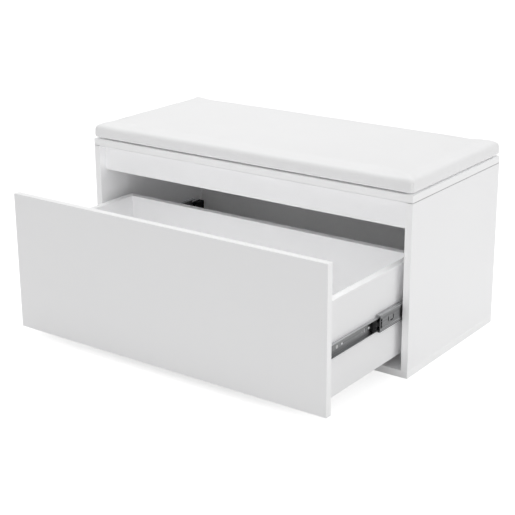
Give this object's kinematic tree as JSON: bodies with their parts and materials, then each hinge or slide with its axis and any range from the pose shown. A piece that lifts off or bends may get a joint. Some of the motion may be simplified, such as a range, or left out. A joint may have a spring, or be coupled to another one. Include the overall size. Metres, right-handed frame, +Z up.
{
  "type": "entryway storage bench",
  "caption": "Low white board bench with a full-width inset drawer on ball-bearing slides, push-to-open, and a padded seat cushion that lifts off.",
  "frame": {"origin": "centre of the carcass footprint, on the underside of the bottom panel, at floor level", "axes": "+X to the right seen from the front, +Y to the back (the drawer opens towards -Y), +Z up"},
  "size_m": [0.802, 0.6285, 0.402],
  "materials": {
    "white_board": "matt white melamine coating on particle board",
    "white_hardboard": "white lacquered hardboard",
    "beech": "raw beech",
    "plywood": "raw plywood",
    "foam": "open-cell upholstery foam",
    "white_leather": "smooth white artificial leather, fine grain",
    "hook_and_loop": "white woven hook-and-loop tape",
    "white_plastic": "moulded",
    "black_plastic": "moulded",
    "grey_plastic": "moulded",
    "ball_steel": "polished bearing balls",
    "cage_steel": "thin stamped strip",
    "fastener_steel": "zinc plated",
    "cam_zinc": "die-cast zinc",
    "slide_steel": "bright zinc plated, roll-formed"
  },
  "bodies": {
    "carcass": {"top_panel": "white_board", "bottom_panel": "white_board", "left_side_panel": "white_board", "right_side_panel": "white_board", "front_rail": "white_board", "back_panel": "white_hardboard", "carcass_dowels": "beech", "carcass_cam_bolts": "fastener_steel", "carcass_cam_locks": "cam_zinc", "cam_lock_caps": "white_plastic", "left_cabinet_member": "slide_steel", "right_cabinet_member": "slide_steel", "cabinet_member_screws": "fastener_steel", "left_push_housing": "black_plastic", "right_push_housing": "black_plastic", "hook_pads": "hook_and_loop"},
    "drawer": {"drawer_front": "white_board", "drawer_left_side": "white_board", "drawer_right_side": "white_board", "drawer_back": "white_board", "drawer_bottom": "white_hardboard", "drawer_dowels": "beech", "drawer_cam_bolts": "fastener_steel", "drawer_cam_locks": "cam_zinc", "drawer_back_screws": "fastener_steel", "left_drawer_member": "slide_steel", "right_drawer_member": "slide_steel", "drawer_member_screws": "fastener_steel"},
    "cushion": {"cushion_base": "plywood", "cushion_foam": "foam", "cushion_cover": "white_leather", "cushion_staples": "fastener_steel", "loop_pads": "hook_and_loop"},
    "left_intermediate": {"left_intermediate_member": "slide_steel"},
    "left_outer_cage": {"left_outer_cage": "cage_steel", "left_outer_balls": "ball_steel"},
    "left_inner_cage": {"left_inner_cage": "cage_steel", "left_inner_balls": "ball_steel"},
    "left_plunger": {"left_push_plunger": "grey_plastic"},
    "right_intermediate": {"right_intermediate_member": "slide_steel"},
    "right_outer_cage": {"right_outer_cage": "cage_steel", "right_outer_balls": "ball_steel"},
    "right_inner_cage": {"right_inner_cage": "cage_steel", "right_inner_balls": "ball_steel"},
    "right_plunger": {"right_push_plunger": "grey_plastic"},
    "left_lever": {"left_release_lever": "black_plastic"},
    "right_lever": {"right_release_lever": "black_plastic"}
  },
  "joints": [
    {"name": "drawer_slide", "type": "slide", "parent": "carcass", "child": "drawer", "axis": [0, -1, 0], "range_m": [-0.2652, 0.0375]},
    {"name": "left_intermediate_slide", "type": "slide", "parent": "carcass", "child": "left_intermediate", "axis": [0, -1, 0], "range_m": [-0.0971, 0.0138]},
    {"name": "left_outer_cage_slide", "type": "slide", "parent": "carcass", "child": "left_outer_cage", "axis": [0, -1, 0], "range_m": [-0.0486, 0.0069]},
    {"name": "left_inner_cage_slide", "type": "slide", "parent": "carcass", "child": "left_inner_cage", "axis": [0, -1, 0], "range_m": [-0.1812, 0.0257]},
    {"name": "left_plunger_slide", "type": "slide", "parent": "carcass", "child": "left_plunger", "axis": [0, -1, 0], "range_m": [-0.016, 0.0023]},
    {"name": "right_intermediate_slide", "type": "slide", "parent": "carcass", "child": "right_intermediate", "axis": [0, -1, 0], "range_m": [-0.0971, 0.0138]},
    {"name": "right_outer_cage_slide", "type": "slide", "parent": "carcass", "child": "right_outer_cage", "axis": [0, -1, 0], "range_m": [-0.0486, 0.0069]},
    {"name": "right_inner_cage_slide", "type": "slide", "parent": "carcass", "child": "right_inner_cage", "axis": [0, -1, 0], "range_m": [-0.1812, 0.0257]},
    {"name": "right_plunger_slide", "type": "slide", "parent": "carcass", "child": "right_plunger", "axis": [0, -1, 0], "range_m": [-0.016, 0.0023]},
    {"name": "left_lever_hinge", "type": "hinge", "parent": "drawer", "child": "left_lever", "pos_m": [-0.3763, -0.2745, 0.136], "axis": [1, 0, 0], "range_deg": [0, 8]},
    {"name": "right_lever_hinge", "type": "hinge", "parent": "drawer", "child": "right_lever", "pos_m": [0.3763, -0.2745, 0.136], "axis": [-1, 0, 0], "range_deg": [0, 8]},
    {"name": "cushion_lift", "type": "slide", "parent": "carcass", "child": "cushion", "axis": [0, 0, 1], "range_m": [0, 0.08]}
  ],
  "couplings": [
    {"joint": "left_intermediate_slide", "follows": "drawer_slide", "ratio": 0.366},
    {"joint": "left_outer_cage_slide", "follows": "drawer_slide", "ratio": 0.183},
    {"joint": "left_inner_cage_slide", "follows": "drawer_slide", "ratio": 0.683},
    {"joint": "left_plunger_slide", "follows": "drawer_slide", "ratio": 0.06},
    {"joint": "right_intermediate_slide", "follows": "drawer_slide", "ratio": 0.366},
    {"joint": "right_outer_cage_slide", "follows": "drawer_slide", "ratio": 0.183},
    {"joint": "right_inner_cage_slide", "follows": "drawer_slide", "ratio": 0.683},
    {"joint": "right_plunger_slide", "follows": "drawer_slide", "ratio": 0.06}
  ]
}
